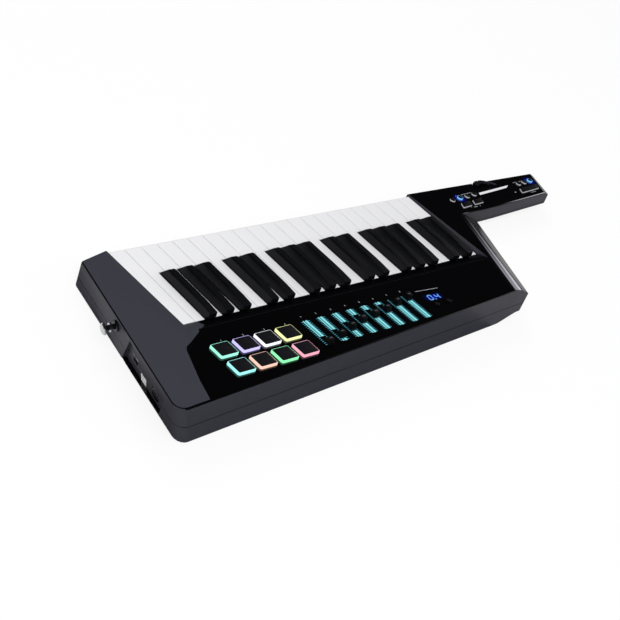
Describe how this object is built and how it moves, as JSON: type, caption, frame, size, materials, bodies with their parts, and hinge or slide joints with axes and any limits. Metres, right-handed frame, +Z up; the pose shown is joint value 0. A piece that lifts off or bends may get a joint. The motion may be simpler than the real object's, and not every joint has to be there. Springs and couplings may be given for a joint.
{
  "type": "keytar",
  "caption": "Shoulder-slung synthesizer keyboard with sprung keys, pads, sliders and a slanted control neck.",
  "frame": {"origin": "centre of the bounding box at its lowest level, where the flat base rests", "axes": "+X along the keys towards the neck, +Y from the control panel across the keys to their tips, +Z up out of the panel"},
  "size_m": [0.9002, 0.2616, 0.0624],
  "materials": {
    "gloss_black": "polished black moulding",
    "satin_black": "fine satin black moulding",
    "key_white": "smooth white keys",
    "key_black": "satin black sharps",
    "bed_grey": "plain grey moulding",
    "silicone_dark": "dark silicone with a translucent skirt",
    "silicone_pale": "pale translucent silicone",
    "strip_white": "white touch surface",
    "board_green": "circuit board with moulded sockets",
    "chrome": "bright plating"
  },
  "bodies": {
    "casing": {"upper_shell": "gloss_black", "lower_shell": "satin_black", "key_bed": "bed_grey", "control_panel": "gloss_black", "pad_mat": "silicone_dark", "panel_keypad": "silicone_pale", "neck_keypad": "silicone_pale", "touch_strip": "strip_white", "jack_board": "board_green", "strap_pin_body": "chrome", "strap_pin_neck": "chrome"},
    "key_C6": {"key_C6": "key_white"},
    "key_B5": {"key_B5": "key_white"},
    "key_A5": {"key_A5": "key_white"},
    "key_As5": {"key_As5": "key_black"},
    "key_G5": {"key_G5": "key_white"},
    "key_Gs5": {"key_Gs5": "key_black"},
    "key_F5": {"key_F5": "key_white"},
    "key_Fs5": {"key_Fs5": "key_black"},
    "key_E5": {"key_E5": "key_white"},
    "key_D5": {"key_D5": "key_white"},
    "key_Ds5": {"key_Ds5": "key_black"},
    "key_C5": {"key_C5": "key_white"},
    "key_Cs5": {"key_Cs5": "key_black"},
    "key_B4": {"key_B4": "key_white"},
    "key_A4": {"key_A4": "key_white"},
    "key_As4": {"key_As4": "key_black"},
    "key_G4": {"key_G4": "key_white"},
    "key_Gs4": {"key_Gs4": "key_black"},
    "key_F4": {"key_F4": "key_white"},
    "key_Fs4": {"key_Fs4": "key_black"},
    "key_E4": {"key_E4": "key_white"},
    "key_D4": {"key_D4": "key_white"},
    "key_Ds4": {"key_Ds4": "key_black"},
    "key_C4": {"key_C4": "key_white"},
    "key_Cs4": {"key_Cs4": "key_black"},
    "key_B3": {"key_B3": "key_white"},
    "key_A3": {"key_A3": "key_white"},
    "key_As3": {"key_As3": "key_black"},
    "key_G3": {"key_G3": "key_white"},
    "key_Gs3": {"key_Gs3": "key_black"},
    "key_F3": {"key_F3": "key_white"},
    "key_Fs3": {"key_Fs3": "key_black"},
    "key_E3": {"key_E3": "key_white"},
    "key_D3": {"key_D3": "key_white"},
    "key_Ds3": {"key_Ds3": "key_black"},
    "key_C3": {"key_C3": "key_white"},
    "key_Cs3": {"key_Cs3": "key_black"},
    "fader_1": {"fader_1": "satin_black"},
    "fader_2": {"fader_2": "satin_black"},
    "fader_3": {"fader_3": "satin_black"},
    "fader_4": {"fader_4": "satin_black"},
    "fader_5": {"fader_5": "satin_black"},
    "fader_6": {"fader_6": "satin_black"},
    "fader_7": {"fader_7": "satin_black"},
    "fader_8": {"fader_8": "satin_black"},
    "pitch_wheel": {"pitch_wheel": "satin_black"},
    "sustain_button": {"sustain_button": "silicone_dark"},
    "power_switch": {"power_switch": "satin_black"},
    "battery_door": {"battery_door": "satin_black"}
  },
  "joints": [
    {"name": "key_C6_press", "type": "hinge", "parent": "casing", "child": "key_C6", "pos_m": [-0.33982, -0.03739, 0.03268], "axis": [-1, 0, 0], "range_deg": [0, 3.14], "stiffness_Nm_per_rad": 0.5, "springref_deg": -8.59},
    {"name": "key_B5_press", "type": "hinge", "parent": "casing", "child": "key_B5", "pos_m": [-0.31633, -0.03739, 0.03268], "axis": [-1, 0, 0], "range_deg": [0, 3.14], "stiffness_Nm_per_rad": 0.5, "springref_deg": -8.59},
    {"name": "key_A5_press", "type": "hinge", "parent": "casing", "child": "key_A5", "pos_m": [-0.29283, -0.03739, 0.03268], "axis": [-1, 0, 0], "range_deg": [0, 3.14], "stiffness_Nm_per_rad": 0.5, "springref_deg": -8.59},
    {"name": "key_As5_press", "type": "hinge", "parent": "casing", "child": "key_As5", "pos_m": [-0.30707, -0.03739, 0.03268], "axis": [-1, 0, 0], "range_deg": [0, 3.14], "stiffness_Nm_per_rad": 0.5, "springref_deg": -8.59},
    {"name": "key_G5_press", "type": "hinge", "parent": "casing", "child": "key_G5", "pos_m": [-0.26932, -0.03739, 0.03268], "axis": [-1, 0, 0], "range_deg": [0, 3.14], "stiffness_Nm_per_rad": 0.5, "springref_deg": -8.59},
    {"name": "key_Gs5_press", "type": "hinge", "parent": "casing", "child": "key_Gs5", "pos_m": [-0.28108, -0.03739, 0.03268], "axis": [-1, 0, 0], "range_deg": [0, 3.14], "stiffness_Nm_per_rad": 0.5, "springref_deg": -8.59},
    {"name": "key_F5_press", "type": "hinge", "parent": "casing", "child": "key_F5", "pos_m": [-0.24582, -0.03739, 0.03268], "axis": [-1, 0, 0], "range_deg": [0, 3.14], "stiffness_Nm_per_rad": 0.5, "springref_deg": -8.59},
    {"name": "key_Fs5_press", "type": "hinge", "parent": "casing", "child": "key_Fs5", "pos_m": [-0.25507, -0.03739, 0.03268], "axis": [-1, 0, 0], "range_deg": [0, 3.14], "stiffness_Nm_per_rad": 0.5, "springref_deg": -8.59},
    {"name": "key_E5_press", "type": "hinge", "parent": "casing", "child": "key_E5", "pos_m": [-0.22232, -0.03739, 0.03268], "axis": [-1, 0, 0], "range_deg": [0, 3.14], "stiffness_Nm_per_rad": 0.5, "springref_deg": -8.59},
    {"name": "key_D5_press", "type": "hinge", "parent": "casing", "child": "key_D5", "pos_m": [-0.19883, -0.03739, 0.03268], "axis": [-1, 0, 0], "range_deg": [0, 3.14], "stiffness_Nm_per_rad": 0.5, "springref_deg": -8.59},
    {"name": "key_Ds5_press", "type": "hinge", "parent": "casing", "child": "key_Ds5", "pos_m": [-0.21208, -0.03739, 0.03268], "axis": [-1, 0, 0], "range_deg": [0, 3.14], "stiffness_Nm_per_rad": 0.5, "springref_deg": -8.59},
    {"name": "key_C5_press", "type": "hinge", "parent": "casing", "child": "key_C5", "pos_m": [-0.17533, -0.03739, 0.03268], "axis": [-1, 0, 0], "range_deg": [0, 3.14], "stiffness_Nm_per_rad": 0.5, "springref_deg": -8.59},
    {"name": "key_Cs5_press", "type": "hinge", "parent": "casing", "child": "key_Cs5", "pos_m": [-0.18557, -0.03739, 0.03268], "axis": [-1, 0, 0], "range_deg": [0, 3.14], "stiffness_Nm_per_rad": 0.5, "springref_deg": -8.59},
    {"name": "key_B4_press", "type": "hinge", "parent": "casing", "child": "key_B4", "pos_m": [-0.15182, -0.03739, 0.03268], "axis": [-1, 0, 0], "range_deg": [0, 3.14], "stiffness_Nm_per_rad": 0.5, "springref_deg": -8.59},
    {"name": "key_A4_press", "type": "hinge", "parent": "casing", "child": "key_A4", "pos_m": [-0.12832, -0.03739, 0.03268], "axis": [-1, 0, 0], "range_deg": [0, 3.14], "stiffness_Nm_per_rad": 0.5, "springref_deg": -8.59},
    {"name": "key_As4_press", "type": "hinge", "parent": "casing", "child": "key_As4", "pos_m": [-0.14258, -0.03739, 0.03268], "axis": [-1, 0, 0], "range_deg": [0, 3.14], "stiffness_Nm_per_rad": 0.5, "springref_deg": -8.59},
    {"name": "key_G4_press", "type": "hinge", "parent": "casing", "child": "key_G4", "pos_m": [-0.10483, -0.03739, 0.03268], "axis": [-1, 0, 0], "range_deg": [0, 3.14], "stiffness_Nm_per_rad": 0.5, "springref_deg": -8.59},
    {"name": "key_Gs4_press", "type": "hinge", "parent": "casing", "child": "key_Gs4", "pos_m": [-0.11657, -0.03739, 0.03268], "axis": [-1, 0, 0], "range_deg": [0, 3.14], "stiffness_Nm_per_rad": 0.5, "springref_deg": -8.59},
    {"name": "key_F4_press", "type": "hinge", "parent": "casing", "child": "key_F4", "pos_m": [-0.08132, -0.03739, 0.03268], "axis": [-1, 0, 0], "range_deg": [0, 3.14], "stiffness_Nm_per_rad": 0.5, "springref_deg": -8.59},
    {"name": "key_Fs4_press", "type": "hinge", "parent": "casing", "child": "key_Fs4", "pos_m": [-0.09058, -0.03739, 0.03268], "axis": [-1, 0, 0], "range_deg": [0, 3.14], "stiffness_Nm_per_rad": 0.5, "springref_deg": -8.59},
    {"name": "key_E4_press", "type": "hinge", "parent": "casing", "child": "key_E4", "pos_m": [-0.05783, -0.03739, 0.03268], "axis": [-1, 0, 0], "range_deg": [0, 3.14], "stiffness_Nm_per_rad": 0.5, "springref_deg": -8.59},
    {"name": "key_D4_press", "type": "hinge", "parent": "casing", "child": "key_D4", "pos_m": [-0.03433, -0.03739, 0.03268], "axis": [-1, 0, 0], "range_deg": [0, 3.14], "stiffness_Nm_per_rad": 0.5, "springref_deg": -8.59},
    {"name": "key_Ds4_press", "type": "hinge", "parent": "casing", "child": "key_Ds4", "pos_m": [-0.04757, -0.03739, 0.03268], "axis": [-1, 0, 0], "range_deg": [0, 3.14], "stiffness_Nm_per_rad": 0.5, "springref_deg": -8.59},
    {"name": "key_C4_press", "type": "hinge", "parent": "casing", "child": "key_C4", "pos_m": [-0.01082, -0.03739, 0.03268], "axis": [-1, 0, 0], "range_deg": [0, 3.14], "stiffness_Nm_per_rad": 0.5, "springref_deg": -8.59},
    {"name": "key_Cs4_press", "type": "hinge", "parent": "casing", "child": "key_Cs4", "pos_m": [-0.02107, -0.03739, 0.03268], "axis": [-1, 0, 0], "range_deg": [0, 3.14], "stiffness_Nm_per_rad": 0.5, "springref_deg": -8.59},
    {"name": "key_B3_press", "type": "hinge", "parent": "casing", "child": "key_B3", "pos_m": [0.01268, -0.03739, 0.03268], "axis": [-1, 0, 0], "range_deg": [0, 3.14], "stiffness_Nm_per_rad": 0.5, "springref_deg": -8.59},
    {"name": "key_A3_press", "type": "hinge", "parent": "casing", "child": "key_A3", "pos_m": [0.03617, -0.03739, 0.03268], "axis": [-1, 0, 0], "range_deg": [0, 3.14], "stiffness_Nm_per_rad": 0.5, "springref_deg": -8.59},
    {"name": "key_As3_press", "type": "hinge", "parent": "casing", "child": "key_As3", "pos_m": [0.02193, -0.03739, 0.03268], "axis": [-1, 0, 0], "range_deg": [0, 3.14], "stiffness_Nm_per_rad": 0.5, "springref_deg": -8.59},
    {"name": "key_G3_press", "type": "hinge", "parent": "casing", "child": "key_G3", "pos_m": [0.05967, -0.03739, 0.03268], "axis": [-1, 0, 0], "range_deg": [0, 3.14], "stiffness_Nm_per_rad": 0.5, "springref_deg": -8.59},
    {"name": "key_Gs3_press", "type": "hinge", "parent": "casing", "child": "key_Gs3", "pos_m": [0.04793, -0.03739, 0.03268], "axis": [-1, 0, 0], "range_deg": [0, 3.14], "stiffness_Nm_per_rad": 0.5, "springref_deg": -8.59},
    {"name": "key_F3_press", "type": "hinge", "parent": "casing", "child": "key_F3", "pos_m": [0.08317, -0.03739, 0.03268], "axis": [-1, 0, 0], "range_deg": [0, 3.14], "stiffness_Nm_per_rad": 0.5, "springref_deg": -8.59},
    {"name": "key_Fs3_press", "type": "hinge", "parent": "casing", "child": "key_Fs3", "pos_m": [0.07393, -0.03739, 0.03268], "axis": [-1, 0, 0], "range_deg": [0, 3.14], "stiffness_Nm_per_rad": 0.5, "springref_deg": -8.59},
    {"name": "key_E3_press", "type": "hinge", "parent": "casing", "child": "key_E3", "pos_m": [0.10668, -0.03739, 0.03268], "axis": [-1, 0, 0], "range_deg": [0, 3.14], "stiffness_Nm_per_rad": 0.5, "springref_deg": -8.59},
    {"name": "key_D3_press", "type": "hinge", "parent": "casing", "child": "key_D3", "pos_m": [0.13018, -0.03739, 0.03268], "axis": [-1, 0, 0], "range_deg": [0, 3.14], "stiffness_Nm_per_rad": 0.5, "springref_deg": -8.59},
    {"name": "key_Ds3_press", "type": "hinge", "parent": "casing", "child": "key_Ds3", "pos_m": [0.11693, -0.03739, 0.03268], "axis": [-1, 0, 0], "range_deg": [0, 3.14], "stiffness_Nm_per_rad": 0.5, "springref_deg": -8.59},
    {"name": "key_C3_press", "type": "hinge", "parent": "casing", "child": "key_C3", "pos_m": [0.15368, -0.03739, 0.03268], "axis": [-1, 0, 0], "range_deg": [0, 3.14], "stiffness_Nm_per_rad": 0.5, "springref_deg": -8.59},
    {"name": "key_Cs3_press", "type": "hinge", "parent": "casing", "child": "key_Cs3", "pos_m": [0.14342, -0.03739, 0.03268], "axis": [-1, 0, 0], "range_deg": [0, 3.14], "stiffness_Nm_per_rad": 0.5, "springref_deg": -8.59},
    {"name": "fader_1_slide", "type": "slide", "parent": "casing", "child": "fader_1", "axis": [0, 0.9934, -0.1147], "range_m": [-0.0002, 0.0402]},
    {"name": "fader_2_slide", "type": "slide", "parent": "casing", "child": "fader_2", "axis": [0, 0.9934, -0.1147], "range_m": [-0.0059, 0.0345]},
    {"name": "fader_3_slide", "type": "slide", "parent": "casing", "child": "fader_3", "axis": [0, 0.9934, -0.1147], "range_m": [-0.01281, 0.02759]},
    {"name": "fader_4_slide", "type": "slide", "parent": "casing", "child": "fader_4", "axis": [0, 0.9934, -0.1147], "range_m": [-0.01951, 0.02089]},
    {"name": "fader_5_slide", "type": "slide", "parent": "casing", "child": "fader_5", "axis": [0, 0.9934, -0.1147], "range_m": [-0.02258, 0.01782]},
    {"name": "fader_6_slide", "type": "slide", "parent": "casing", "child": "fader_6", "axis": [0, 0.9934, -0.1147], "range_m": [-0.02561, 0.01479]},
    {"name": "fader_7_slide", "type": "slide", "parent": "casing", "child": "fader_7", "axis": [0, 0.9934, -0.1147], "range_m": [-0.0322, 0.0082]},
    {"name": "fader_8_slide", "type": "slide", "parent": "casing", "child": "fader_8", "axis": [0, 0.9934, -0.1147], "range_m": [-0.036, 0.0044]},
    {"name": "pitch_wheel_turn", "type": "hinge", "parent": "casing", "child": "pitch_wheel", "pos_m": [0.32243, 0.10348, 0.03104], "axis": [0, 0.1147, 0.9934], "range_deg": [-22, 22], "stiffness_Nm_per_rad": 0.1},
    {"name": "sustain_press", "type": "slide", "parent": "casing", "child": "sustain_button", "axis": [0, -0.1147, -0.9934], "range_m": [0, 0.0015], "stiffness_N_per_m": 400, "springref_m": -0.001},
    {"name": "power_slide", "type": "slide", "parent": "casing", "child": "power_switch", "axis": [0.1734, 0.9836, -0.0488], "range_m": [0, 0.004]},
    {"name": "battery_door_hinge", "type": "hinge", "parent": "casing", "child": "battery_door", "pos_m": [-0.15157, -0.10691, 0], "axis": [-1, 0, 0], "range_deg": [0, 75]}
  ]
}
